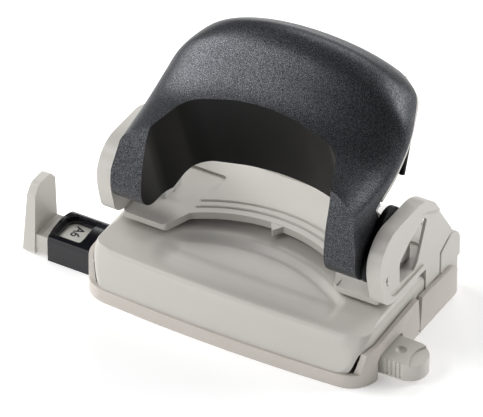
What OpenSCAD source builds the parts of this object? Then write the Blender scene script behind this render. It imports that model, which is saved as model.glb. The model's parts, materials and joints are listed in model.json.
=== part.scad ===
// Two-hole desk punch with a sliding paper guide.
// Millimetres. X runs along the guide bar, Y to the back, Z up from the table.
// The origin is on the table, midway between the two punched holes.

/* [Punching] */
// Distance between the centres of the two punched holes
hole_spacing = 80; // [72:1:100]
// Diameter of the punch pins
pin_d = 5.5; // [4.8:0.1:6.6]
// Distance from the holes to the stop that the paper's edge meets
paper_setback = 12; // [10:0.5:14.5]
// Height of the slot that takes the paper
slot_h = 1.6; // [1.2:0.1:2]
// How far a pin goes down when the handle is pressed home
pin_travel = 7.5; // [6:0.1:8]

/* [Base] */
// Width of the shell outside the punch pins, on each side
side_margin = 10; // [10:0.5:13]
// Shell's front edge, in front of the pins
front_reach = 36; // [34:0.5:44]
// Shell's rear face, behind the pins
rear_reach = 29; // [28:0.5:35]
// Height of the deck that the paper lies on
deck_z = 19; // [18:0.5:23]
// Wall of the shell
shell_wall = 2; // [1.6:0.1:2.4]
// Wall and floor of the bottom pan and the chip flap
pan_wall = 1.6; // [1.2:0.1:2]
// Ledge by which the pan stands out below the shell
pan_ledge = 2; // [1.8:0.1:3]

/* [Frame] */
// Thickness of the plate over the paper slot
plate_t = 2.6; // [2.2:0.1:3.2]
// Radius of the arc in the plate's front edge
arc_r = 46; // [42:1:55]
// Thickness of each ear
ear_t = 5; // [4:0.25:5]
// Skin of each ear behind its pocket
ear_skin = 1.6; // [1.2:0.1:2]
// Height of the ears above the table
ear_top = 50.4; // [50:0.2:52]

/* [Handle] */
// Pivot of the handle, in front of the pins
pivot_back = 17; // [16:0.5:18]
// Height of the pivot
pivot_z = 38; // [37.5:0.5:40]
// Radius of the toe that turns about the pivot
toe_r = 10; // [9:0.5:10.5]
// Wall of the handle
handle_wall = 2; // [1.6:0.1:2.4]
// Height of the crown above the pivot
crown_rise = 50; // [44:1:60]
// Tilt of the thumb arch from upright
draw_tilt = 18.5; // [15:0.5:20]
// Diameter of the axles
axle_d = 5; // [4:0.1:5.6]

/* [Paper guide] */
// Width of the guide bar
bar_w = 12.6; // [10:0.2:13]
// Height of the guide bar
bar_h = 6.6; // [5:0.2:7]
// Distance from the centre to the stop's face at rest
stop_reach = 74; // [72.5:0.5:90]
// Height of the stop
stop_h = 26; // [20:0.5:32]
// Thickness of the stop
stop_t = 4.5; // [3:0.5:6]
// Distance from the centre to the bar's free end
bar_end = 65; // [62:0.5:78]

/* [Fits] */
// Radial clearance of pins and axles that turn or slide
running = 0.05; // [0.02:0.01:0.1]
// Gap between parts that move past each other
side_gap = 0.3; // [0.25:0.05:0.4]
// Gap around the guide bar
bar_gap = 0.2; // [0.15:0.05:0.3]

/* [Hidden] */
$fn = 72;
pin_x = hole_spacing / 2;
half = pin_x + side_margin;
pan_half = half + pan_ledge;
pan_front = front_reach + 1;
lip_z = 5;
band_z = 13.4;
skirt_z = band_z - 1.4;
plate_z = deck_z + slot_h;
plate_top = plate_z + plate_t;
plate_front = 16.5;
plate_rear = rear_reach - 5;
arc_back = 1.4;
tab_x = pin_x - 10;
ear_out = half + 1.2;
ear_in = ear_out - ear_t;
plate_half = ear_in;
pillar_y = [7.3, 16.3];
pivot = [-pivot_back, pivot_z];
cheek_t = 1.9;
cheek_out = ear_in - side_gap;
leg_out = cheek_out - cheek_t;
leg_in = pin_x - 7;
band_t = 1.6;
arch_t = 16.5;
arch_half = leg_in - 0.5;
lever_t = 1.2;
lever_x = arch_half + band_t + 0.1;
drive_d = 3;
drive_rise = pin_travel / 2;
drive_z = pivot_z + drive_rise;
guide_y = 5;
guide_top = plate_top + 4.3;
flange_x = pin_x + 4.3;
flange_t = 1.5;
flange_top = plate_top + 9.8;
flange_low = plate_z + 0.9;
rivet_at = [-1.1, plate_top + 7.3];
screw_at = [-1.1, plate_top + 1.4];
cap_r = 4.1;
cap_t = 0.9;
cap_z = drive_z - drive_d / 2 - 0.1 - cap_t;
die_d = 12;
die_t = 1.6;
bar_y = -18;
bar_z = 1.4;
sleeve_end = 69;
sleeve_y = [-25.5, -9.2];
sleeve_h = 11;
partition_y = -8.4;
hinge_y = 1.2;
hinge_z = 0.8;
floor_t = 1.2;
lobe_at = [-8.5, pivot_z + 7.5];
lobe_r = 7.3;
rim_line = [[-13, 55], [-1, 60], [10.5, 67], [17, 70], [28, 75], [34, 77.5]];

// ---- Helpers ----

// Points of an arc, from one angle to another
function arc(c, r, a0, a1, n = 10) =
    [for (i = [0:n]) c + r * [cos(a0 + (a1 - a0) * i / n), sin(a0 + (a1 - a0) * i / n)]];

// Draws its children on the left, the right or both sides
module left() {
    mirror([1, 0, 0]) children();
}
module both() {
    children();
    left() children();
}

// Extrudes an outline in Y and Z along X
module along_x(x0, x1) {
    translate([x0, 0, 0]) rotate([90, 0, 90]) linear_extrude(x1 - x0) children();
}

// Extrudes an outline in X and Z along Y
module along_y(y0, y1) {
    translate([0, y1, 0]) rotate([90, 0, 0]) linear_extrude(y1 - y0) children();
}

// Cylinder along X through a point in Y and Z
module rod(at, r, x0, x1) {
    translate([x0, at[0], at[1]]) rotate([0, 90, 0]) cylinder(r = r, h = x1 - x0);
}

// Plan of the base: rounded corners and a slightly bowed front edge
module plan(hw, front, rear, r_front, r_rear, bow = 1.5) {
    run = hw - r_front;
    polygon(concat(
        arc([hw - r_rear, rear - r_rear], r_rear, 0, 90),
        arc([r_rear - hw, rear - r_rear], r_rear, 90, 180),
        arc([r_front - hw, bow - front + r_front], r_front, 180, 266),
        [for (i = [-7:7]) [run * i / 8, bow * pow(i / 8, 2) - front]],
        arc([hw - r_front, bow - front + r_front], r_front, 274, 360)
    ));
}

// Outline round two circles, with straight sides between them
module link(p, rp, q, rq) {
    a = atan2(q[1] - p[1], q[0] - p[0]);
    b = acos((rp - rq) / norm(q - p));
    polygon(concat(arc(q, rq, a - b, a + b, 16), arc(p, rp, a + b, a + 360 - b, 16)));
}

// ---- Base ----

// Solid form of the shell, with its faces moved in by d
module shell_form(d = 0) {
    top = deck_z - d;
    front = d - front_reach;
    intersection() {
        linear_extrude(60) plan(half - d, front_reach - d, rear_reach - d, 9, 4);
        along_x(-half, half) polygon([
            [front, 0], [front, lip_z], [front + 4.5, top - 2.5], [front + 6.5, top - 1.2],
            [front + 10, top - 0.4], [front + 16, top], [paper_setback + d, top],
            [paper_setback + d, plate_z - d], [rear_reach - d, plate_z - d], [rear_reach - d, 0]
        ]);
        along_y(-front_reach, rear_reach) polygon(concat(
            [[d - half, 0]],
            arc([d - half + 3, top - 3], 3, 180, 90),
            [[d - half + 3, plate_z + 5], [half - d - 3, plate_z + 5]],
            arc([half - d - 3, top - 3], 3, 90, 0),
            [[half - d, 0]]
        ));
    }
}

// Upstand behind the plate, and the lobes that it ends in beside the ears
module rear_upstand() {
    round_back = arc([rear_reach - 5, plate_top - 5], 5, 76, 0, 6);
    lobe_y = pillar_y[1] + side_gap;
    intersection() {
        linear_extrude(60) plan(half, front_reach, rear_reach, 9, 4);
        union() {
            along_x(-half, half) polygon(concat(
                [[rear_reach, 13], [plate_rear + side_gap, 13], [plate_rear + side_gap, plate_top]],
                round_back
            ));
            both() along_x(ear_in, half) polygon(concat(
                [[rear_reach, 13], [lobe_y, 13], [lobe_y, plate_top - 2.5],
                 [lobe_y + 7, plate_top + 1.1]],
                round_back
            ));
        }
    }
}

module base_shell() {
    color("gainsboro") difference() {
        union() {
            difference() {
                shell_form();
                shell_form(shell_wall);
            }
            // Bosses that carry the dies
            both() intersection() {
                translate([pin_x, 0, deck_z - 4]) cylinder(d = die_d + 4, h = 4);
                shell_form(shell_wall / 2);
            }
            rear_upstand();
        }
        // Open below; the front wall stands on the pan and the others reach into it
        translate([-half - 1, -front_reach - 1, -1])
            cube([2 * half + 2, front_reach + rear_reach + 2, lip_z + 1]);
        along_x(-half - 1, half + 1)
            polygon([[5.5 - front_reach, 0], [6 - front_reach, skirt_z],
                     [rear_reach - 10, skirt_z], [rear_reach + 1, 5], [rear_reach + 1, 0]]);
        // Seats of the dies, and the way out for the chips
        both() translate([pin_x, 0, deck_z - die_t]) cylinder(d = die_d, h = die_t + 1);
        both() translate([pin_x, 0, 0]) cylinder(d = pin_d + 2.5, h = deck_z);
        // Slots that the ears' pillars go down into
        both() translate([ear_in - side_gap, pillar_y[0] - side_gap, 0])
            cube([ear_t + 2, pillar_y[1] - pillar_y[0] + 2 * side_gap, plate_top + 5]);
    }
}

module bottom_pan() {
    arch_w = bar_w / 2 + 1.7;
    arch_top = bar_z + bar_h + 0.6;
    color("lightgray") difference() {
        intersection() {
            linear_extrude(20) plan(pan_half, pan_front, 40, 10, 2);
            along_x(-pan_half, pan_half) polygon([
                [-pan_front, 0], [-pan_front, lip_z], [4.6 - pan_front, lip_z],
                [6.2 - pan_front, band_z - 1.4], [9 - pan_front, band_z - 0.4],
                [hinge_y - 4, band_z + 1], [hinge_y - 1.2, band_z + 0.6],
                [hinge_y - 0.2, 2.4], [hinge_y - 0.2, 0]
            ]);
        }
        difference() {
            translate([0, 0, floor_t])
                linear_extrude(30) plan(pan_half - pan_wall, pan_front - pan_wall, 50, 8.4, 2);
            // Partition that keeps the chips away from the guide bar
            translate([1 - half, partition_y - 0.6, 0]) cube([2 * half - 2, 1.2, 10]);
        }
        // Arches for the bar on the right and for its sleeve on the left
        along_x(half - 0.5, pan_half + 1) polygon(concat(
            [[bar_y - arch_w, -1]], arc([bar_y - arch_w + 2.2, arch_top - 2.2], 2.2, 180, 90, 6),
            arc([bar_y + arch_w - 2.2, arch_top - 2.2], 2.2, 90, 0, 6), [[bar_y + arch_w, -1]]
        ));
        translate([-pan_half - 1, sleeve_y[0] - side_gap, -1])
            cube([pan_half - half + 1.5, sleeve_y[1] - sleeve_y[0] + 2 * side_gap, sleeve_h + 1.2]);
        // Seat of the flap's hinge bead
        rod([hinge_y, hinge_z], hinge_z + 0.15, -pan_half - 1, pan_half + 1);
        feet_pads(-1);
    }
}

// Two anti-slip pads, let into the floor at the front or at the back
module feet_pads(side) {
    y = side < 0 ? 8 - pan_front : rear_reach - 9;
    both() translate([half - 17, y - 3, 0]) cube([14, 6, 0.8]);
}

module front_feet() {
    color("dimgray") feet_pads(-1);
}

module rear_feet() {
    color("dimgray") feet_pads(1);
}

// Flap that swings down to let the chips out, with a bead along its hinge
module chip_flap() {
    back = rear_reach + 1;
    color("lightgray") union() {
        difference() {
            intersection() {
                linear_extrude(20) plan(pan_half, 40, back, 2, 6);
                along_x(-pan_half, pan_half) polygon([
                    [hinge_y + 0.2, 0], [hinge_y + 0.2, 2.4], [hinge_y + 1.2, band_z],
                    [back - 7.5, band_z - 1.4], [back, 6.2], [back, 3], [back - 2.2, 0]
                ]);
            }
            translate([0, 0, floor_t])
                linear_extrude(30) plan(pan_half - pan_wall, 60, rear_reach + side_gap, 2, 5);
            feet_pads(1);
        }
        rod([hinge_y, hinge_z], hinge_z, 3 - half, half - 3);
    }
}

module die() {
    color("silver") difference() {
        translate([pin_x, 0, deck_z - die_t]) cylinder(d = die_d, h = die_t);
        translate([pin_x, 0, 0]) cylinder(r = pin_d / 2 + running, h = deck_z + 1);
    }
}

// ---- Frame ----

module plate_outline() {
    arc_c = [0, arc_back - arc_r];
    a_end = acos((tab_x - 3) / arc_r);
    difference() {
        polygon(concat(
            [[plate_half, plate_rear], [-plate_half, plate_rear],
             [-plate_half, -plate_front], [-tab_x, -plate_front]],
            arc(arc_c, arc_r, 180 - a_end, a_end, 24),
            [[tab_x, -plate_front], [plate_half, -plate_front]]
        ));
        // Room for the pin guides' flanges, and the holes that the pins pass through
        both() translate([flange_x, -guide_y - 0.2])
            square([plate_half - flange_x + 1, 2 * guide_y + 0.4]);
        both() translate([pin_x, 0]) circle(d = pin_d + 0.6);
    }
}

module frame_plate() {
    color("whitesmoke") union() {
        translate([0, 0, plate_z]) linear_extrude(plate_t) plate_outline();
        // Pointer that shows the middle of the paper
        translate([0, 0, plate_z]) linear_extrude(plate_t)
            polygon([[-3, arc_back + 0.5], [3, arc_back + 0.5], [0, arc_back - 3.5]]);
    }
}

function ear_outline() = concat(
    [[-12.8, plate_top - 1], [pillar_y[0], plate_top - 1], [pillar_y[0], band_z],
     [pillar_y[1], band_z], [pillar_y[1], plate_top - 2], [23.6, plate_top + 1.8]],
    arc([3, ear_top - 8], 8, 35, 90, 6),
    arc([-16.4, ear_top - 8], 8, 90, 175, 8),
    [[-23.4, 34.8], [-22.2, 28.8], [-19, plate_top + 1.6]]
);

module ear_window() {
    polygon([[-10, plate_top + 3], [-10, 35], [-3, 39.2], [5.4, 42.3], [7.4, 40.7],
             [1.9, plate_top + 4.7], [-0.6, plate_top + 2.3]]);
}

module ear() {
    color("gainsboro") difference() {
        union() {
            difference() {
                along_x(ear_in, ear_out) polygon(ear_outline());
                // Pocket on the inside
                along_x(ear_in - 1, ear_out - ear_skin)
                    polygon([[-12, plate_top + 2], [4, plate_top + 2], [19.5, plate_top + 3],
                             [5, ear_top - 4], [-15, ear_top - 4], [-19.5, 42], [-19, 31]]);
            }
            rod(pivot, axle_d / 2 + 2.2, ear_in, ear_out - ear_skin);
        }
        rod(pivot, axle_d / 2, ear_in - 1, ear_out - ear_skin);
        along_x(ear_in - 1, ear_out + 1) ear_window();
        along_x(ear_in - 1, ear_out + 1) link([-18.5, 32.6], 0.9, [-18.8, 35], 1.5);
    }
}

module axle() {
    color("silver") rod(pivot, axle_d / 2, lever_x, ear_out - ear_skin);
}

// Block that guides a pin, with a flange that hangs beside the plate
module pin_guide() {
    color("silver") difference() {
        union() {
            translate([flange_x - 7.2, -guide_y, plate_top])
                cube([7.2, 2 * guide_y, guide_top - plate_top]);
            translate([flange_x, -guide_y, flange_low])
                cube([flange_t, 2 * guide_y, flange_top - flange_low]);
        }
        translate([pin_x, 0, 0]) cylinder(r = pin_d / 2 + running, h = 60);
        rod(rivet_at, 1.5, flange_x - 0.5, flange_x + flange_t + 1);
        rod(screw_at, 1.2, flange_x - 0.5, flange_x + flange_t + 1);
    }
}

module guide_rivets() {
    color("white") both() {
        rod(rivet_at, 1.5, flange_x, flange_x + flange_t);
        rod(rivet_at, 2.6, flange_x + flange_t, flange_x + flange_t + 0.9);
    }
}

module guide_screws() {
    color("silver") both() difference() {
        union() {
            rod(screw_at, 1.2, flange_x, flange_x + flange_t);
            rod(screw_at, 2.1, flange_x + flange_t, flange_x + flange_t + 0.35);
        }
        translate([flange_x + flange_t + 0.15, screw_at[0] - 3, screw_at[1] - 0.35])
            cube([1, 6, 0.7]);
    }
}

// ---- Paper guide ----

module bar_hole(grow) {
    translate([-100, bar_y - bar_w / 2 - grow, bar_z - grow])
        cube([200, bar_w + 2 * grow, bar_h + 2 * grow]);
}

module guide_sleeve() {
    color("black") difference() {
        union() {
            along_x(-sleeve_end, -pan_half) polygon([
                [sleeve_y[0], 0], [sleeve_y[0], sleeve_h - 1.5], [sleeve_y[0] + 1.5, sleeve_h],
                [sleeve_y[1] - 1.5, sleeve_h], [sleeve_y[1], sleeve_h - 1.5], [sleeve_y[1], 0]
            ]);
            translate([-pan_half, sleeve_y[0], floor_t])
                cube([6, sleeve_y[1] - sleeve_y[0], sleeve_h - floor_t - 0.5]);
        }
        bar_hole(bar_gap);
        translate([3 - sleeve_end, bar_y - 4.5, bar_z]) cube([8, 9, 20]);
    }
}

module guide_bar() {
    color("gainsboro") difference() {
        union() {
            translate([-stop_reach, bar_y - bar_w / 2, bar_z])
                cube([stop_reach + bar_end - bar_w / 2, bar_w, bar_h]);
            translate([bar_end - bar_w / 2, bar_y, bar_z]) cylinder(d = bar_w, h = bar_h);
            // Upright stop, narrower towards its crowned top
            translate([-stop_reach - stop_t, 0, 0]) along_x(0, stop_t) polygon(concat(
                [[bar_y - 7.2, side_gap]],
                [[bar_y + 7.2, side_gap], [bar_y + 6, stop_h - 2.2]],
                arc([bar_y, stop_h - 14], 14, 64, 116, 8),
                [[bar_y - 6, stop_h - 2.2]]
            ));
        }
        // Recess of the format strip, and the finger dimple at the free end
        translate([2 - stop_reach, bar_y - 4.5, bar_z + bar_h - 0.4]) cube([90, 9, 1]);
        translate([bar_end - 7, bar_y, bar_z + bar_h + 7]) sphere(r = 8);
    }
}

module format_strip() {
    color("white") translate([2 - stop_reach, bar_y - 4.5, bar_z + bar_h - 0.4])
        cube([90, 9, 0.4]);
}

// ---- Handle ----

// Elliptical section across the handle, at y
module rib(y, w, zc, h) {
    translate([0, y, 0]) rotate([90, 0, 0]) linear_extrude(0.1)
        polygon([for (a = [0:7.5:180]) [w * cos(a), zc + h * sin(a)]]);
}

// Convex solid form of the handle, with its faces moved in by d
module handle_form(d = 0) {
    lift = crown_rise - 50 + pivot_z - 38;
    hull() {
        translate([-leg_out + d, pivot[0], pivot[1]]) rotate([0, 90, 0])
            cylinder(r = toe_r - d, h = 2 * (leg_out - d), $fn = 40);
        translate([d + 1 - leg_out, -27.2 + d, pivot_z + 4]) cube([2 * (leg_out - d - 1), 1, 10]);
        rib(-23.4 + d, leg_out - 3 - d, 55.5, 14 - d);
        rib(-7 + d / 2, leg_out - 2.2 - d, 57, 17 + lift - d);
        rib(5, leg_out - 2 - d, 62, 20.4 + lift - d);
        rib(12, leg_out - 2.4 - d, 65, 21.4 + lift - d);
        rib(19, leg_out - 4.6 - d, 66.5, 21.5 + lift - d);
        rib(27 - d, leg_out - 10 - d, 68, 14.5 + lift - d);
        rib(29 - d, leg_out - 13 - d, 70, 11 + lift - d);
    }
}

// Plan of the thumb arch across its draw direction, grown by g
module arch_plan(g) {
    polygon(concat(
        [[-arch_half - g, -90]],
        arc([9 - arch_half, arch_t - 12], 9 + g, 180, 110, 8),
        [for (i = [-4:4]) [i * 4, arch_t + g - pow(i * 4, 2) / 110]],
        arc([arch_half - 9, arch_t - 12], 9 + g, 70, 0, 8),
        [[arch_half + g, -90]]
    ));
}

module arch(g) {
    rotate([draw_tilt, 0, 0]) translate([0, 0, -60]) linear_extrude(200) arch_plan(g);
}

// Everything below the hood's rim and behind the legs
module below_rim(drop = 0) {
    lift = pivot_z - 38 - drop;
    along_x(-100, 100) polygon(concat(
        [[pivot[0] + toe_r - 1, 0], [pivot[0] + toe_r - 1, pivot_z]],
        [for (p = rim_line) p + [0, lift]],
        [[60, 90], [60, 0]]
    ));
}

module handle_shell() {
    color([0.12, 0.12, 0.13]) difference() {
        union() {
            difference() {
                handle_form();
                handle_form(handle_wall);
                arch(0);
                below_rim();
            }
            // Wall of the arch
            intersection() {
                handle_form(0.01);
                difference() {
                    arch(band_t);
                    arch(0);
                }
                along_x(-60, 60) polygon([
                    [-60, 20], [-14, 28.2], [-5, 36.8], [4, 39.6], [40, 46], [40, 120], [-60, 120]
                ]);
            }
        }
        both() rod(pivot, axle_d / 2 + 1.5, leg_out - 5, leg_out + 1);
        // Way in for the lever at the back of the toe
        both() translate([arch_half + band_t, pivot[0] + 4, pivot_z - 10])
            cube([leg_out - handle_wall - arch_half - band_t, 8, 14]);
    }
}

module handle_liner() {
    color("white") difference() {
        intersection() {
            handle_form(0.15);
            below_rim();
            along_x(-60, 60) polygon([[-9, 40], [-9, 90], [40, 90], [40, 60]]);
        }
        below_rim(1.4);
        arch(band_t + 0.01);
    }
}

// Lobe between the handle and the ear, with the hub that turns on the axle
module cheek() {
    color([0.1, 0.1, 0.11]) difference() {
        union() {
            along_x(leg_out, cheek_out) link(pivot, 7, lobe_at, lobe_r);
            rod(pivot, axle_d / 2 + 1.4, lever_x + lever_t + 0.2, leg_out);
        }
        rod(pivot, axle_d / 2 + running, lever_x, ear_in + 1);
    }
}

module stop_pegs() {
    color("black") both() intersection() {
        translate([leg_out - 5, 18.2, pivot_z + 32]) rotate([160, 0, 0]) cylinder(d = 2, h = 20);
        below_rim(1.4);
    }
}

module lever() {
    slot_r = drive_d / 2 + 0.25;
    color("silver") along_x(lever_x, lever_x + lever_t) difference() {
        link(pivot, 6, [0, drive_z], 4.5);
        translate(pivot) circle(axle_d / 2 + running);
        link([-0.5, drive_z], slot_r, [0.5, drive_z], slot_r);
    }
}

// ---- Punches ----

module punch_pin() {
    color("silver") difference() {
        translate([pin_x, 0, plate_z + 0.3]) cylinder(d = pin_d, h = drive_z + 3 - plate_z - 0.3);
        rod([0, drive_z], drive_d / 2, pin_x - 5, pin_x + 5);
    }
}

module drive_pin() {
    color("gray") rod([0, drive_z], drive_d / 2, lever_x, pin_x + pin_d / 2 + 0.5);
}

module spring_cap() {
    color("gray") difference() {
        translate([pin_x, 0, cap_z]) cylinder(r = cap_r, h = cap_t);
        translate([pin_x, 0, 0]) cylinder(d = pin_d, h = 60);
    }
}

// Coil around the pin, swept as one closed tube
module return_spring() {
    wire = 0.8;
    coil_r = pin_d / 2 + 0.3 + wire / 2;
    turns = 5;
    z0 = guide_top + wire / 2;
    z1 = cap_z - wire / 2;
    n = turns * 16;
    sides = 6;
    pts = [
        for (i = [0:n]) for (j = [0:sides - 1])
            let (a = i * 360 / 16, b = j * 360 / sides, r = coil_r + wire / 2 * cos(b))
            [pin_x + r * cos(a), r * sin(a), z0 + (z1 - z0) * i / n + wire / 2 * sin(b)]
    ];
    walls = [
        for (i = [0:n - 1]) for (j = [0:sides - 1])
            let (k = (j + 1) % sides)
            [i * sides + j, (i + 1) * sides + j, (i + 1) * sides + k, i * sides + k]
    ];
    ends = [[for (j = [0:sides - 1]) j], [for (j = [sides - 1:-1:0]) n * sides + j]];
    color("silver") polyhedron(points = pts, faces = concat(walls, ends));
}

// ---- Nodes ----

base_shell();
bottom_pan();
front_feet();
chip_flap();
rear_feet();
left() die();  // die_left
die();  // die_right
frame_plate();
left() ear();  // ear_left
ear();  // ear_right
left() axle();  // axle_left
axle();  // axle_right
left() pin_guide();  // pin_guide_left
pin_guide();  // pin_guide_right
guide_rivets();
guide_screws();
guide_sleeve();
guide_bar();
format_strip();
handle_shell();
handle_liner();
left() cheek();  // cheek_left
cheek();  // cheek_right
stop_pegs();
left() lever();  // lever_left
lever();  // lever_right
left() punch_pin();  // punch_pin_left
punch_pin();  // punch_pin_right
left() drive_pin();  // drive_pin_left
drive_pin();  // drive_pin_right
left() spring_cap();  // spring_cap_left
spring_cap();  // spring_cap_right
left() return_spring();  // return_spring_left
return_spring();  // return_spring_right
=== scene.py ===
"""Looks of the two-hole desk punch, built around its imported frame."""
import json
import math

import bmesh
import bpy
from mathutils import Matrix, Vector


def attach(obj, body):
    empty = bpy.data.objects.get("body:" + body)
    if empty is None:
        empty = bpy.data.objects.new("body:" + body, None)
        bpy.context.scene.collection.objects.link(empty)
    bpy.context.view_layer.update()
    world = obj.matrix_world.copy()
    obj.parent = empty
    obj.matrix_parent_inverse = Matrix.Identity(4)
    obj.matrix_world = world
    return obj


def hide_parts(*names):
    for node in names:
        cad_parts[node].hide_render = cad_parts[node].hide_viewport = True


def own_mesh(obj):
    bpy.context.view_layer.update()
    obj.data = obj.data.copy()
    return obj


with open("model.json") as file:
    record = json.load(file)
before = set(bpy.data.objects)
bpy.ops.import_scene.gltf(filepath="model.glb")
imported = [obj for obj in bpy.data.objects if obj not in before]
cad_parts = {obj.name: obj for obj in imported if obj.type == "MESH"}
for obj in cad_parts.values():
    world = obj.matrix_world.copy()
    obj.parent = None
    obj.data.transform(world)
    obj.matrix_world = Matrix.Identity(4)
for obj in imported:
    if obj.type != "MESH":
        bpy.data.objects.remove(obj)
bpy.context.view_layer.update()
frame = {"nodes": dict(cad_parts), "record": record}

MM = 0.001
SIDES = {"right": 1, "left": -1}
# Driving sizes, in millimetres
PIVOT = (-17.0, 38.0)      # handle's axle, in Y and Z
PIN_X = 40                 # punch pins, on each side of the middle
SHELL_HALF = 50.0
SHELL_FRONT, SHELL_REAR = -36.0, 29
DECK = 19.0                # face that the paper lies on
PLATE = (20.6, 23.2)       # underside and top of the plate over the paper slot
EAR = (46.2, 51.2)         # inner and outer face of an ear
SPRING_ENDS = (27.5, 39.25)  # top of the pin guide, and underside of the spring's cap
DRAW_TILT = math.radians(18.5)


# ---- Small tools ----

def linear(hexa):
    """Linear colour of an sRGB hex value."""
    parts = [int(hexa[i:i + 2], 16) / 255 for i in (1, 3, 5)]
    return tuple(c / 12.92 if c < 0.04045 else ((c + 0.055) / 1.055) ** 2.4 for c in parts) + (1.0,)


def add(tree, kind, inputs=None, **settings):
    """Adds a shader node with its settings, and its values or links."""
    node = tree.nodes.new("ShaderNode" + kind)
    for key, value in settings.items():
        setattr(node, key, value)
    for key, value in (inputs or {}).items():
        if isinstance(value, bpy.types.NodeSocket):
            tree.links.new(value, node.inputs[key])
        else:
            node.inputs[key].default_value = value
    return node


def smooth(x):
    """Smooth step from 0 to 1."""
    x = min(1.0, max(0.0, x))
    return x * x * (3 - 2 * x)


def along(rows, t):
    """Row of a short table at t, from 0 to 1, on a smooth curve through the rows."""
    s = t * (len(rows) - 1)
    i = min(int(s), len(rows) - 2)
    f = s - i
    p, q = rows[i], rows[i + 1]
    before, after = rows[max(i - 1, 0)], rows[min(i + 2, len(rows) - 1)]
    return [
        b + 0.5 * f * (c - a + f * (2 * a - 5 * b + 4 * c - d + f * (3 * (b - c) + d - a)))
        for a, b, c, d in zip(before, p, q, after)
    ]


def arc(centre, radius, start, end, steps):
    """Points of an arc, in degrees."""
    turns = [math.radians(start + (end - start) * i / steps) for i in range(steps + 1)]
    return [(centre[0] + radius * math.cos(a), centre[1] + radius * math.sin(a)) for a in turns]


def at(axis, level, a, b):
    """Point at a level along an axis, with a and b along the other two."""
    return {"X": Vector((level, a, b)), "Y": Vector((a, level, b)), "Z": Vector((a, b, level))}[axis]


def prism(corners, axis, low, high, steps=8):
    """Solid between two levels across an axis. A corner is (a, b), or (a, b, radius)."""
    bm = bmesh.new()
    ring = [bm.verts.new(at(axis, low, c[0], c[1])) for c in corners]
    bm.faces.new(ring)
    spots = [v.co.copy() for v in ring]
    for i, corner in enumerate(corners):
        if len(corner) < 3:
            continue
        to_last = spots[i - 1] - spots[i]
        to_next = spots[(i + 1) % len(spots)] - spots[i]
        reach = corner[2] / math.tan(to_last.angle(to_next) / 2)
        bmesh.ops.bevel(bm, geom=[ring[i]], offset=reach, offset_type="OFFSET", segments=steps,
                        profile=0.5, affect="VERTICES", material=-1, clamp_overlap=False)
    grown = bmesh.ops.extrude_face_region(bm, geom=bm.faces[:])
    moved = [g for g in grown["geom"] if isinstance(g, bmesh.types.BMVert)]
    bmesh.ops.translate(bm, verts=moved, vec=at(axis, high - low, 0, 0))
    bmesh.ops.recalc_face_normals(bm, faces=bm.faces[:])
    return bm


def rod(axis, spot, radius, low, high, steps=40):
    """Cylinder across an axis, through a spot in the other two."""
    bm = bmesh.new()
    bmesh.ops.create_cone(bm, cap_ends=True, segments=steps, radius1=radius, radius2=radius,
                          depth=high - low)
    turn = {"X": Matrix.Rotation(math.pi / 2, 3, "Y"), "Y": Matrix.Rotation(math.pi / 2, 3, "X"),
            "Z": Matrix.Identity(3)}[axis]
    bmesh.ops.rotate(bm, verts=bm.verts, matrix=turn, cent=(0, 0, 0))
    bmesh.ops.translate(bm, verts=bm.verts, vec=at(axis, (low + high) / 2, *spot))
    return bm


def made(name, bm):
    """Object from a bmesh in millimetres, in the row's own frame."""
    mesh = bpy.data.meshes.new(name)
    bm.to_mesh(mesh)
    bm.free()
    obj = bpy.data.objects.new(name, mesh)
    bpy.context.scene.collection.objects.link(obj)
    return obj


def settle(obj):
    """Applies the modifiers to the mesh."""
    seen = obj.evaluated_get(bpy.context.evaluated_depsgraph_get())
    mesh = bpy.data.meshes.new_from_object(seen)
    obj.modifiers.clear()
    old, obj.data = obj.data, mesh
    bpy.data.meshes.remove(old)
    return obj


def cut(obj, tool, how="DIFFERENCE"):
    """Cuts obj with a tool, a bmesh or an object, and drops the tool."""
    if isinstance(tool, bmesh.types.BMesh):
        tool = made("tool", tool)
    step = obj.modifiers.new("cut", "BOOLEAN")
    step.object = tool
    step.operation = how
    step.solver = "EXACT"
    settle(obj)
    mesh = tool.data
    bpy.data.objects.remove(tool)
    bpy.data.meshes.remove(mesh)
    return obj


def merge(bm, *others):
    """Puts other bmeshes into one."""
    for other in others:
        mesh = bpy.data.meshes.new("merge")
        other.to_mesh(mesh)
        other.free()
        bm.from_mesh(mesh)
        bpy.data.meshes.remove(mesh)
    return bm


def from_cad(node):
    """Merged copy of a CAD node's mesh, in millimetres."""
    bm = bmesh.new()
    bm.from_mesh(frame["nodes"][node].data)
    bmesh.ops.remove_doubles(bm, verts=bm.verts, dist=1e-6)
    bmesh.ops.dissolve_limit(bm, angle_limit=math.radians(0.5), verts=bm.verts, edges=bm.edges)
    bmesh.ops.scale(bm, vec=(1 / MM, 1 / MM, 1 / MM), verts=bm.verts)
    return bm


def finished(obj, body, finish, nodes=(), edge=0.3, angle=35, steps=2):
    """Scales a piece to metres, rounds its edges, paints it and puts it on its body."""
    if isinstance(nodes, str):
        nodes = (nodes,)
    for v in obj.data.vertices:
        v.co *= MM
    obj.data.polygons.foreach_set("use_smooth", [True] * len(obj.data.polygons))
    if edge:
        bevel = obj.modifiers.new("edges", "BEVEL")
        bevel.width = edge * MM
        bevel.segments = steps
        bevel.limit_method = "ANGLE"
        bevel.angle_limit = math.radians(angle)
        bevel.harden_normals = True
        bevel.use_clamp_overlap = True
    else:
        obj.data.set_sharp_from_angle(angle=math.radians(angle))
    obj.data.materials.clear()
    obj.data.materials.append(finish)
    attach(obj, body)
    if nodes:
        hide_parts(*nodes)
    return obj


# ---- Materials ----

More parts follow.
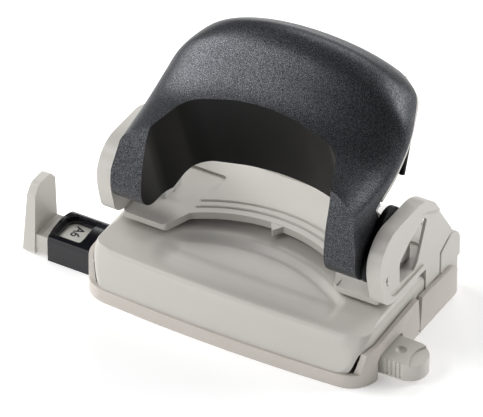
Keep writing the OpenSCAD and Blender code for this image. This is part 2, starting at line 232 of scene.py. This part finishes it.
def surface(name, colour, second, patch_mm, rough, grain_mm, grain_depth_mm, **shader):
    """Moulded or plated surface: two close colours in soft patches, and a fine grain in relief."""
    mat = bpy.data.materials.new(name)
    mat.use_nodes = True
    tree = mat.node_tree
    tree.nodes.clear()
    place = add(tree, "TexCoord").outputs["Object"]
    patches = add(tree, "TexNoise", {"Vector": place, "Scale": 1 / (patch_mm * MM), "Detail": 3.0})
    tint = add(tree, "MixRGB", {"Fac": patches.outputs["Fac"], "Color1": linear(colour),
                                "Color2": linear(second)})
    grain = add(tree, "TexNoise", {"Vector": place, "Scale": 1 / (grain_mm * MM), "Detail": 2.0})
    sheen = add(tree, "MapRange", {"Value": grain.outputs["Fac"], "To Min": rough - 0.06,
                                   "To Max": rough + 0.06})
    relief = add(tree, "Bump", {"Height": grain.outputs["Fac"], "Strength": 0.6,
                                "Distance": grain_depth_mm * MM})
    shade = add(tree, "BsdfPrincipled", {"Base Color": tint.outputs["Color"],
                                         "Roughness": sheen.outputs["Result"],
                                         "Normal": relief.outputs["Normal"], **shader})
    add(tree, "OutputMaterial", {"Surface": shade.outputs["BSDF"]})
    return mat


def flecked(name, dark, pale, fleck_mm, rough, **shader):
    """Dark moulded polymer with pale metallic flecks just under its satin skin."""
    mat = bpy.data.materials.new(name)
    mat.use_nodes = True
    tree = mat.node_tree
    tree.nodes.clear()
    place = add(tree, "TexCoord").outputs["Object"]
    flecks = add(tree, "TexNoise", {"Vector": place, "Scale": 1 / (fleck_mm * MM), "Detail": 1.5,
                                    "Roughness": 0.75})
    share = add(tree, "MapRange", {"Value": flecks.outputs["Fac"], "From Min": 0.47,
                                   "From Max": 0.76})
    tint = add(tree, "MixRGB", {"Fac": share.outputs["Result"], "Color1": linear(dark),
                                "Color2": linear(pale)})
    sheen = add(tree, "MapRange", {"Value": flecks.outputs["Fac"], "To Min": rough + 0.12,
                                   "To Max": rough - 0.12})
    relief = add(tree, "Bump", {"Height": flecks.outputs["Fac"], "Strength": 0.5,
                                "Distance": 0.05 * MM})
    shade = add(tree, "BsdfPrincipled", {"Base Color": tint.outputs["Color"],
                                         "Roughness": sheen.outputs["Result"],
                                         "Normal": relief.outputs["Normal"], **shader})
    add(tree, "OutputMaterial", {"Surface": shade.outputs["BSDF"]})
    return mat


# ABS, moulded satin: a warm light grey with the faintest mottling
GREY_ABS = surface("moulded_grey_abs", "#cfccc6", "#cac6bf", 22, 0.36, 0.5, 0.006, IOR=1.53)
# Polypropylene, moulded: a touch warmer and duller than the ABS above it
PAN_PP = surface("moulded_warm_polypropylene", "#ccc6bf", "#c6bfb7", 18, 0.44, 0.6, 0.01, IOR=1.49)
# ABS with aluminium flake, spark-eroded mould: pale flecks that catch the light
FLAKE_ABS = flecked("flaked_black_abs", "#1f2024", "#909297", 0.2, 0.4, Metallic=0.7,
                    **{"Specular IOR Level": 0.35})
# ABS, plain mould: the deep black of the arch and the cheeks
BLACK_ABS = surface("moulded_black_abs", "#08080a", "#0b0b0e", 15, 0.34, 0.4, 0.008,
                    **{"Specular IOR Level": 0.18})
# ABS, polished mould: glossy black of the sleeve
GLOSS_ABS = surface("polished_black_abs", "#0c0d12", "#111219", 12, 0.14, 0.5, 0.002, IOR=1.53)
# Zinc-plated steel, blanked and turned
PLATED = surface("zinc_plated_steel", "#dad9d6", "#c8c9cb", 4, 0.3, 0.3, 0.004, Metallic=0.6)
# White printed polyester strip
STRIP = surface("printed_strip", "#e6e4dd", "#deddd6", 9, 0.4, 0.5, 0.003, IOR=1.5)
INK = surface("black_print", "#16161a", "#1c1c20", 3, 0.5, 0.3, 0.002, IOR=1.5)
# Thermoplastic rubber: dark, dull and slightly rough
RUBBER = surface("rubber_pad", "#2b2b2b", "#333232", 6, 0.75, 0.35, 0.03, IOR=1.52)


# ---- Handle ----

# Hood from front to back: y, half width, height of the shoulder, height of the crest.
# All rows but the first, and the fullness, come from a numeric fit to the outline, rounded; a few
# were then changed.
HOOD = [
    (-44, 44, 46, 54), (-30.9, 42.9, 53.2, 60.5), (-25, 42.2, 56.3, 68), (-7.1, 43.4, 58.8, 72.3),
    (4, 43.4, 62.3, 79.6), (10.8, 42.6, 65.6, 85.1), (18.2, 40.5, 66.9, 87.1), (24.2, 38.7, 67.9, 84.3),
    (28.4, 35, 68.4, 81.6), (29.4, 33.4, 70.4, 79.6), (29.6, 32.6, 72.6, 77.3),
]
FULLNESS = 0.985
# Lower edge of the hood, in Y and Z
RIM = [(-13, 55), (-1, 60), (10.5, 67), (17, 70), (28, 75), (34, 77.5)]


def hood(d):
    """Crowned solid of the hood, with its faces moved in by d."""
    bm = bmesh.new()
    bmesh.ops.create_grid(bm, x_segments=72, y_segments=72, size=1)
    for v in bm.verts:
        y, half, shoulder, crest = along(HOOD, (v.co.y + 1) / 2)
        turn = v.co.x * math.pi / 2
        out = math.copysign(abs(math.sin(turn)) ** FULLNESS, turn)
        v.co = (
            (half - d) * out,
            y - d * smooth((y - 12) / 16),
            shoulder + (crest - d - shoulder) * max(0, math.cos(turn)) ** FULLNESS,
        )
    bmesh.ops.remove_doubles(bm, verts=bm.verts, dist=1e-5)
    # The sides flare to the legs' full width, and go down below the toes
    for level in (47, 10):
        border = [e for e in bm.edges if e.is_boundary]
        skirt = bmesh.ops.extrude_edge_only(bm, edges=border)["geom"]
        for v in skirt:
            if isinstance(v, bmesh.types.BMVert):
                wide = max(abs(w.co.x) for e in v.link_edges for w in e.verts)
                if wide > 36:
                    v.co.x = math.copysign(44 - d, v.co.x)
                v.co.z = level
    bmesh.ops.holes_fill(bm, edges=[e for e in bm.edges if e.is_boundary])
    bmesh.ops.recalc_face_normals(bm, faces=bm.faces[:])
    return bm


def legs(d):
    """Solid under the legs' front line and round the toes, with its faces moved in by d."""
    return prism([(-27.2 + d, 33 + d, 9 - d), (-27.7 + d, 48, 50), (-22.6 + d, 65, 70),
                  (-8, 95), (70, 95), (70, 33 + d)], "X", -60, 60, 10)


def arch(g):
    """Prism of the thumb arch along its draw direction, grown by g."""
    side, wide = 32.9 + g, 27.2 + g
    bm = prism([(-side, -90), (-side, -2, 12), (-wide, 13.4 + g, 8.5 + g), (0, 20.4 + g, 60),
                (wide, 13.4 + g, 8.5 + g), (side, -2, 12), (side, -90)], "Z", -60, 140, 14)
    bmesh.ops.rotate(bm, verts=bm.verts, cent=(0, 0, 0), matrix=Matrix.Rotation(DRAW_TILT, 3, "X"))
    return bm


def below_rim(drop, first=(-8, 20)):
    """Everything below the hood's rim and behind the legs."""
    line = [(y, z - drop) for y, z in RIM]
    return prism([first, (first[0], 38 - drop)] + line + [(70, 92), (70, 20)], "X", -60, 60)


def handle():
    """Hood, legs and arch in one shell, open behind the rim."""
    shell = made("handle_shell", hood(0))
    cut(shell, legs(0), "INTERSECT")
    inside = made("inside", hood(2))
    cut(inside, legs(2), "INTERSECT")
    cut(inside, arch(1.2))
    cut(shell, arch(0))
    cut(shell, inside)
    under = made("under", below_rim(0))
    cut(under, arch(1.2))
    cut(shell, under)
    cut(shell, prism([(-60, 0), (-60, 27.9), (-14.6, 27.9, 2), (-5, 37.4, 6), (7, 39.8), (40, 46),
                      (40, 0)], "X", -34.15, 34.15))
    for sign in SIDES.values():
        cut(shell, rod("X", PIVOT, 4, min(sign * 39, sign * 45), max(sign * 39, sign * 45)))
    finished(shell, "handle", FLAKE_ABS, "handle_shell", edge=0.25, angle=28)
    shell.data.materials.append(BLACK_ABS)
    draw = Vector((0, -math.sin(DRAW_TILT), math.cos(DRAW_TILT)))
    for face in shell.data.polygons:
        if abs(face.normal.dot(draw)) < 0.01 and abs(face.center.x) < 34.2 * MM:
            face.material_index = 1


def liner():
    """Pale inner cover; its edge shows as a band under the hood's rim."""
    cover = made("handle_liner", hood(0.1))
    cut(cover, prism([(-9, 40), (-9, 57)] + RIM[1:] + [(70, 92), (70, 40)], "X", -60, 60),
        "INTERSECT")
    cut(cover, below_rim(1.5, (-10, 20)))
    cut(cover, arch(1.25))
    return finished(cover, "handle", GREY_ABS, "handle_liner", edge=0.2)


# ---- Base ----

def shell_height(x, y, half=SHELL_HALF, front=SHELL_FRONT):
    """Height of the shell's skin: a steep front face, round shoulders and a shallow scoop."""
    rise = [(0, 5), (3.9, 15.2), (4.4, 16.1), (5.1, 16.75), (6, 17.1), (9, 17.7), (13, 18.5),
            (18, DECK)]

    def face(d):
        for (d0, z0), (d1, z1) in zip(rise, rise[1:]):
            if d < d1:
                return z0 + (z1 - z0) * max(0, d - d0) / (d1 - d0)
        return DECK

    def shoulder(d):
        d = min(3.0, max(0.0, d))
        return 16 + math.sqrt(9 - (3 - d) ** 2)

    qx, qy = abs(x) - (half - 9), (front + 9) - y
    if qx > 0 and qy > 0:
        d = 9 - math.hypot(qx, qy)
        share = smooth(math.atan2(qy, qx) / (math.pi / 2))
        z = min(face(d) * share + shoulder(d) * (1 - share), face(y - front))
    else:
        z = min(face(y - front), shoulder(half - abs(x)))
    scoop = (smooth((y + 30.5) / 11) * smooth((-4.2 - 0.0105 * x * x - y) / 3.6)
             * smooth((36 - x) / 3.6) * smooth((x + 32) / 9))
    return z - 2.3 * scoop


def base_shell():
    """Shell with the deck, its seats for the dies and its slots for the ears."""
    bm = bmesh.new()
    bmesh.ops.create_grid(bm, x_segments=120, y_segments=130, size=1)
    for v in bm.verts:
        y = SHELL_FRONT + (SHELL_REAR - SHELL_FRONT) * ((v.co.y + 1) / 2) ** 1.5
        half = SHELL_HALF if y > -27 else 41 + math.sqrt(max(0, 81 - (-27 - y) ** 2))
        x = half * math.sin(v.co.x * math.pi / 2)
        v.co = (x, y + 1.5 * (x / SHELL_HALF) ** 2 * smooth(-y / 30), shell_height(x, y))
    skirt = bmesh.ops.extrude_edge_only(bm, edges=[e for e in bm.edges if e.is_boundary])["geom"]
    for v in skirt:
        if isinstance(v, bmesh.types.BMVert):
            v.co.z = 5 + 6.8 * smooth((v.co.y + 34) / 3) * (1 - 0.8 * smooth((v.co.y - 20) / 8))
    bmesh.ops.recalc_face_normals(bm, faces=bm.faces[:])
    shell = made("base_shell", bm)
    wall = shell.modifiers.new("wall", "SOLIDIFY")
    wall.thickness = 1.9
    wall.offset = -1
    settle(shell)
    for sign in SIDES.values():
        side = sorted((sign * 45.9, sign * 60))
        cut(shell, prism([(7, 5), (7, 30), (16.6, 30), (16.6, 5)], "X", *side))
        cut(shell, rod("Z", (sign * PIN_X, 0), 6, 17.4, 25))
        cut(shell, rod("Z", (sign * PIN_X, 0), 4, 10, 25))
    return finished(shell, "root", GREY_ABS, "base_shell", edge=0.25)


def upstand():
    """Upstand behind the plate and the round lobes beside the ears."""
    back = [(24.3, 14), (24.3, 23.2, 0.4), (29, 23.2, 5), (29, 14)]
    bm = prism(back, "X", -46, 46)
    merge(bm, prism([(12, 18.5), (12, 20.55), (26, 20.55), (26, 18.5)], "X", -45.8, 45.8))
    lobe = [(16.7, 12.3), (16.7, 20.7, 1.5), (23.4, 24.2, 5), (29.4, 22.4, 5), (29.4, 12.3)]
    for sign in SIDES.values():
        merge(bm, prism(lobe, "X", *sorted((sign * 46.3, sign * 50.7))))
    return finished(made("rear_upstand", bm), "root", GREY_ABS, edge=0.8, steps=3)


def frame_plate():
    """Plate over the paper slot, with its pointer and sunk fields."""
    edge = arc((0, -44.6), 46, 125.9, 54.1, 36)
    bm = prism([(46.2, 24, 0.5), (-46.2, 24, 0.5), (-46.2, -16.5, 1), (-30.5, -16.5, 1.5)] + edge
               + [(30.5, -16.5, 1.5), (46.2, -16.5, 1)], "Z", *PLATE)
    plate = made("frame_plate", bm)
    cut(plate, prism([(-3.2, 3, 0.2), (3.2, 3, 0.2), (0, -2.3, 0.4)], "Z", 20.7, 23.1), "UNION")
    for sign in SIDES.values():
        cut(plate, prism([(sign * 26, 4, 1.6), (sign * 44, 4, 1), (sign * 44, 15, 1),
                          (sign * 26, 15, 1.6)], "Z", 22.5, 30))
        cut(plate, rod("X", PIVOT, 15.3, *sorted((sign * 31.5, sign * 45)), steps=96))
        cut(plate, prism([(sign * 44.2, -5.2), (sign * 48, -5.2), (sign * 48, 5.2),
                          (sign * 44.2, 5.2)], "Z", 10, 30))
        cut(plate, rod("Z", (sign * PIN_X, 0), 3.05, 10, 30))
    return finished(plate, "root", GREY_ABS, "frame_plate", edge=0.35, steps=3)


def plate_ribs():
    """Two raised beads that follow the plate's arc."""
    bm = bmesh.new()
    for radius, reach in ((49.2, 33), (52.4, 31)):
        ring = bmesh.ops.create_circle(bm, cap_ends=True, segments=16, radius=0.75)["verts"]
        turn = Matrix.Rotation(math.pi / 2, 3, "X")
        bmesh.ops.rotate(bm, verts=ring, cent=(0, 0, 0), matrix=turn)
        bmesh.ops.translate(bm, verts=ring, vec=(radius, -44.6, 22.95))
        bmesh.ops.rotate(bm, verts=ring, cent=(0, -44.6, 0),
                         matrix=Matrix.Rotation(math.radians(90 - reach), 3, "Z"))
        faces = {f for v in ring for f in v.link_faces}
        bmesh.ops.spin(bm, geom=list(faces), cent=(0, -44.6, 0), axis=(0, 0, 1),
                       angle=math.radians(2 * reach), steps=60, use_duplicate=False)
    bmesh.ops.remove_doubles(bm, verts=bm.verts, dist=1e-4)
    bmesh.ops.recalc_face_normals(bm, faces=bm.faces[:])
    return finished(made("plate_ribs", bm), "root", GREY_ABS, edge=0)


def ear(side):
    """Ear with its pocket, axle boss, window and small drop-shaped hole."""
    sign = SIDES[side]
    line = [(-12.8, 22.2, 1.5), (7.3, 22.2, 0.5), (7.3, 12.9), (16.3, 12.9), (16.3, 21.2, 0.5),
            (24.4, 25.2, 1.5), (7.5, 50.4, 15), (-24.6, 50.4, 11), (-23.8, 36, 30), (-20.9, 25, 6)]
    span = sorted(sign * level for level in EAR)
    panel = made("ear_" + side, prism(line, "X", *span, 12))
    # Pocket on the inside, and the shallow face inside the rim on the outside
    pocket = [(-12, 25.4, 2), (4, 25.4, 1), (19.5, 26.2, 1), (5, 46.6, 6), (-19.6, 46.6, 6),
              (-19.4, 31, 6)]
    cut(panel, prism(pocket, "X", *sorted((sign * 40, sign * 49.4))))
    face = [(-12.5, 24.4, 5), (6, 24.4, 2), (6, 10), (40, 10), (40, 24), (4.6, 45.6, 12),
            (-19.4, 45.6, 8), (-18.9, 35, 14), (-17, 25.5, 5)]
    cut(panel, prism(face, "X", *sorted((sign * 50.4, sign * 60)), 10))
    rib = rod("X", PIVOT, 4.7, *sorted((sign * EAR[0], sign * 50)))
    cut(panel, rib, "UNION")
    cut(panel, rod("X", PIVOT, 2.5, *sorted((sign * 40, sign * 49.6))))
    window = [(-10, 26.6, 1.2), (-10, 35, 2.5), (-3, 39.2, 5), (5.4, 42.3, 0.8), (7.4, 40.7, 0.8),
              (1.9, 27.9, 2), (-0.6, 25.5, 1)]
    cut(panel, prism(window, "X", *sorted((sign * 40, sign * 60))))
    drop = [(-19.6, 31.9, 0.8), (-20.3, 35.4, 1.2), (-17.5, 36.2, 1.2), (-17.6, 31.9, 0.8)]
    cut(panel, prism(drop, "X", *sorted((sign * 40, sign * 60))))
    return finished(panel, "root", GREY_ABS, "ear_" + side, edge=1.15, angle=50, steps=4)


def pan_parts():
    """Bottom pan and chip flap, with their edges rounded."""
    pan = finished(made("bottom_pan", from_cad("bottom_pan")), "root", PAN_PP, "bottom_pan", edge=0.45,
                   angle=40, steps=3)
    flap = finished(made("chip_flap", from_cad("chip_flap")), "chip_door", PAN_PP, "chip_flap", edge=0.45,
                    angle=40, steps=3)
    return pan, flap


# ---- Paper guide ----

def sleeve():
    """Glossy sleeve of the paper guide, with its stepped window."""
    top = arc((-17.35, -6.5), 17.6, 116, 64, 14)
    line = [(-9.2, 0), (-9.2, 7.8, 1.2)] + top[::-1] + [(-25.5, 7.8, 1.2), (-25.5, 0)]
    body = made("guide_sleeve", prism(line, "X", -69, -49))
    cut(body, prism([(-24.5, 1.2), (-11.5, 1.2), (-11.5, 8.2), (-24.5, 8.2)], "X", -80, -40))
    for grown, level in ((0, 5), (0.9, 9.4)):
        low, high = -67 - grown, -58.4 + grown
        cut(body, prism([(low, -23 - grown, 1), (low, -15.2, 1.8), (low + 1.8, -13.4 + grown, 1.5),
                         (high, -13.4 + grown, 1.2), (high, -23 - grown, 1)], "Z", level, 20))
    cut(body, prism([(-67, -11.6, 0.3), (-67, -10.9, 0.3), (-57, -10.9, 0.3), (-57, -11.6, 0.3)], "Z",
                    9.6, 20))
    return finished(body, "root", GLOSS_ABS, "guide_sleeve", edge=0.3, steps=3)


def guide_bar():
    """Bar with the upright stop at one end and the grip at the other."""
    bm = prism([(-75, -24.3), (65, -24.3, 6.2), (65, -11.7, 6.2), (-75, -11.7)], "Z", 1.4, 7.9, 16)
    bar = made("guide_bar", bm)
    cut(bar, prism([(-72, -22.5), (18, -22.5), (18, -13.5), (-72, -13.5)], "Z", 7.5, 9))
    stop = prism([(-25.2, 0.3, 1), (-10.8, 0.3, 1), (-11.8, 22.6, 1.2), (-14.5, 26, 3), (-21.5, 26, 3),
                  (-24.2, 22.6, 1.2)], "X", -78.5, -74)
    # The stop leans away from the paper's edge and thins towards its top
    for v in stop.verts:
        if v.co.x < -78:
            v.co.x += 1.4 * smooth(v.co.z / 26)
    cut(bar, stop, "UNION")
    dimple = bmesh.new()
    bmesh.ops.create_uvsphere(dimple, u_segments=32, v_segments=20, radius=2.4)
    bmesh.ops.translate(dimple, verts=dimple.verts, vec=(55.8, -18, 9.4))
    cut(bar, dimple)
    cut(bar, rod("Z", (69.3, -18), 9.5, 7.2, 9, 72))
    for i in range(4):
        x = 54 + 1.5 * i
        cut(bar, prism([(x, -25, 0.2), (x + 0.7, -25, 0.2), (x + 0.7, -23.9, 0.2), (x, -23.9, 0.2)], "Z",
                       2.2, 10))
    return finished(bar, "paper_guide", GREY_ABS, "guide_bar", edge=0.45, angle=40, steps=3)


def strip_marks():
    """Paper size on the strip, read from the back to the front."""
    words = bpy.data.curves.new("size_mark", "FONT")
    words.body = "A6"
    words.align_x = "CENTER"
    words.align_y = "CENTER"
    words.size = 4.6
    words.extrude = 0.02
    words.offset = 0.08
    text = bpy.data.objects.new("size_mark", words)
    bpy.context.scene.collection.objects.link(text)
    mesh = bpy.data.meshes.new_from_object(text.evaluated_get(bpy.context.evaluated_depsgraph_get()))
    bpy.data.objects.remove(text)
    mesh.transform(Matrix.Translation((-63, -16.9, 8.02)) @ Matrix.Rotation(-math.pi / 2, 4, "Z"))
    mark = bpy.data.objects.new("size_mark", mesh)
    bpy.context.scene.collection.objects.link(mark)
    return finished(mark, "paper_guide", INK, edge=0)


# ---- Springs ----

def spring(side):
    """Coil round a pin, from the pin guide up to the cap."""
    sign = SIDES[side]
    wire, radius, turns = 0.4, 3.45, 5
    low, high = SPRING_ENDS
    bm = bmesh.new()
    ring = bmesh.ops.create_circle(bm, cap_ends=True, segments=10, radius=wire)["verts"]
    bmesh.ops.rotate(bm, verts=ring, cent=(0, 0, 0), matrix=Matrix.Rotation(math.pi / 2, 3, "X"))
    bmesh.ops.translate(bm, verts=ring, vec=(radius, 0, low + wire))
    steps = 28 * turns
    bmesh.ops.spin(bm, geom=bm.faces[:], cent=(0, 0, 0), axis=(0, 0, 1), steps=steps,
                   angle=math.radians(360 * turns), use_duplicate=False,
                   dvec=(0, 0, (high - low - 2 * wire) / steps))
    bmesh.ops.translate(bm, verts=bm.verts, vec=(sign * PIN_X, 0, 0))
    bmesh.ops.remove_doubles(bm, verts=bm.verts, dist=1e-4)
    bmesh.ops.recalc_face_normals(bm, faces=bm.faces[:])
    coil = finished(made("coil_" + side, bm), "root", PLATED, "return_spring_" + side, edge=0)
    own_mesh(coil)


# ---- Everything ----

handle()
liner()
base_shell()
upstand()
frame_plate()
plate_ribs()
for side in SIDES:
    ear(side)
    finished(made("cheek_" + side + "_piece", from_cad("cheek_" + side)), "handle", BLACK_ABS,
             "cheek_" + side, edge=0.4, steps=3)
    spring(side)
pan_parts()
sleeve()
guide_bar()
strip_marks()

FINISHES = {"steel": PLATED, "rubber": RUBBER, "strip": STRIP, "black_plastic": BLACK_ABS,
            "light_plastic": GREY_ABS, "pan_plastic": PAN_PP, "gloss_black": GLOSS_ABS,
            "black_metallic": FLAKE_ABS}
for row in frame["record"]["subparts"]:
    node = frame["nodes"][row["node"]]
    node.data.materials.clear()
    node.data.materials.append(FINISHES[row["material_slot"]])

# ---- Stage, light and camera ----

scene = bpy.context.scene
scene.view_settings.view_transform = "Standard"
world = bpy.data.worlds.new("studio")
world.use_nodes = True
world.node_tree.nodes["Background"].inputs["Color"].default_value = linear("#ffffff")
world.node_tree.nodes["Background"].inputs["Strength"].default_value = 0.07
scene.world = world

floor_bm = bmesh.new()
bmesh.ops.create_grid(floor_bm, x_segments=1, y_segments=1, size=3)
floor = made("floor", floor_bm)
floor.data.materials.append(surface("pale_floor", "#ffffff", "#fbfbfb", 900, 0.7, 20, 0.001,
                                    **{"Emission Color": linear("#ffffff"), "Emission Strength": 0.3}))


def lamp(name, spot, size, watts, colour="#ffffff"):
    """Square soft box that looks at the object."""
    light = bpy.data.lights.new(name, "AREA")
    light.size = size
    light.energy = watts
    light.color = linear(colour)[:3]
    obj = bpy.data.objects.new(name, light)
    obj.location = spot
    obj.rotation_euler = (Vector((0, 0, 0.03)) - Vector(spot)).to_track_quat("-Z", "Y").to_euler()
    scene.collection.objects.link(obj)


lamp("key_left", (-1.15, -0.1, 0.72), 0.75, 12)
lamp("left_front_high", (-0.75, -0.65, 1.2), 0.6, 6)
lamp("front_low", (-0.55, -1.3, 0.4), 0.6, 4.5)
lamp("back_right", (0.8, 1.0, 0.7), 0.8, 12)
lamp("back", (-0.3, 1.1, 0.9), 0.7, 5)

LOOK_AT = Vector((-0.00944, -0.00497, 0.03))
AZIMUTH, ELEVATION, DISTANCE = math.radians(30), math.radians(37.3), 2.4
FRAME_WIDTH = 483
FRAME_SCALE = 3170         # widths of 1 m at the object, in the same units as the frame's width
toward = Vector((-math.sin(AZIMUTH) * math.cos(ELEVATION), math.cos(AZIMUTH) * math.cos(ELEVATION),
                 -math.sin(ELEVATION)))
camera_data = bpy.data.cameras.new("camera")
camera_data.sensor_width = 36
camera_data.lens = FRAME_SCALE * DISTANCE / FRAME_WIDTH * camera_data.sensor_width
camera_data.clip_end = 20
camera = bpy.data.objects.new("camera", camera_data)
camera.location = LOOK_AT - toward * DISTANCE
camera.rotation_euler = toward.to_track_quat("-Z", "Y").to_euler()
scene.collection.objects.link(camera)
scene.camera = camera
